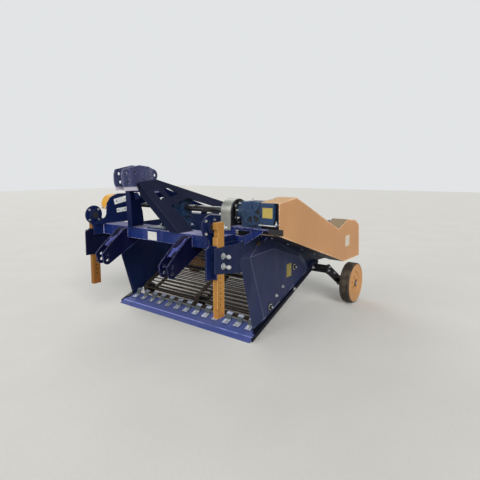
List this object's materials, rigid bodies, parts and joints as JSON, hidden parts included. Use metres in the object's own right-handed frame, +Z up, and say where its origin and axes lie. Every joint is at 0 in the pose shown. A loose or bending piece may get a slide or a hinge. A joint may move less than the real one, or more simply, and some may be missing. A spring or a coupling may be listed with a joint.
{
  "type": "rear-mounted potato harvester",
  "caption": "Tractor-mounted potato digger: wide share, rising rod web between side walls, hitch mast, cross shaft drive, chain cover and two rear gauge wheels.",
  "frame": {"origin": "on the floor, under the middle of the machine's box", "axes": "+X forward to the tractor, +Y to the left, +Z up"},
  "size_m": [2.346, 2.368, 1.456],
  "materials": {
    "blue_paint": "semi-gloss",
    "share_blue": "semi-gloss",
    "stand_yellow": "satin",
    "cover_orange": "satin",
    "wheel_orange": "satin",
    "gearbox_teal": "semi-gloss",
    "black_paint": "semi-gloss",
    "zinc": "zinc plated",
    "bare_steel": "machined",
    "rod_steel": "rusty",
    "tyre_rubber": "matt"
  },
  "bodies": {
    "frame": {"share": "share_blue", "share_fingers": "zinc", "side_wall_left": "blue_paint", "side_wall_right": "blue_paint", "side_panel_left": "blue_paint", "side_panel_right": "blue_paint", "main_beam": "blue_paint", "end_flange_left": "blue_paint", "end_flange_right": "blue_paint", "stand_bracket_left": "blue_paint", "stand_bracket_right": "blue_paint", "mast_left": "blue_paint", "mast_right": "blue_paint", "mast_tie": "blue_paint", "top_link_ears": "blue_paint", "link_bracket_left": "blue_paint", "link_bracket_right": "blue_paint", "centre_gearbox": "gearbox_teal", "pto_stub": "bare_steel", "cross_shafts": "black_paint", "shaft_guard_left": "zinc", "bearing_plate_left": "black_paint", "upright_plate_right": "blue_paint", "shaft_guard_right": "stand_yellow", "gearbox_platform": "blue_paint", "side_gearbox": "gearbox_teal", "chain_cover": "cover_orange", "chain_case_back": "blue_paint", "cover_standoffs": "blue_paint", "top_cross_tube": "blue_paint", "rear_cross_tube": "blue_paint", "axle_tube": "black_paint", "wheel_arm_left": "black_paint", "wheel_arm_right": "black_paint", "web": "rod_steel", "web_rollers": "black_paint", "web_drive_shaft": "black_paint"},
    "left_stand": {"stand_left": "stand_yellow"},
    "right_stand": {"stand_right": "stand_yellow"},
    "left_wheel": {"wheel_left": "wheel_orange", "tyre_left": "tyre_rubber"},
    "right_wheel": {"wheel_right": "wheel_orange", "tyre_right": "tyre_rubber"}
  },
  "joints": [
    {"name": "left_stand_slide", "type": "slide", "parent": "frame", "child": "left_stand", "axis": [0, 0, -1], "range_m": [0, 0.21]},
    {"name": "right_stand_slide", "type": "slide", "parent": "frame", "child": "right_stand", "axis": [0, 0, -1], "range_m": [0, 0.21]},
    {"name": "left_wheel_turn", "type": "hinge", "parent": "frame", "child": "left_wheel", "pos_m": [-0.959, 1.131, 0.214], "axis": [0, 1, 0], "continuous": true},
    {"name": "right_wheel_turn", "type": "hinge", "parent": "frame", "child": "right_wheel", "pos_m": [-0.959, -1.131, 0.214], "axis": [0, 1, 0], "continuous": true}
  ]
}
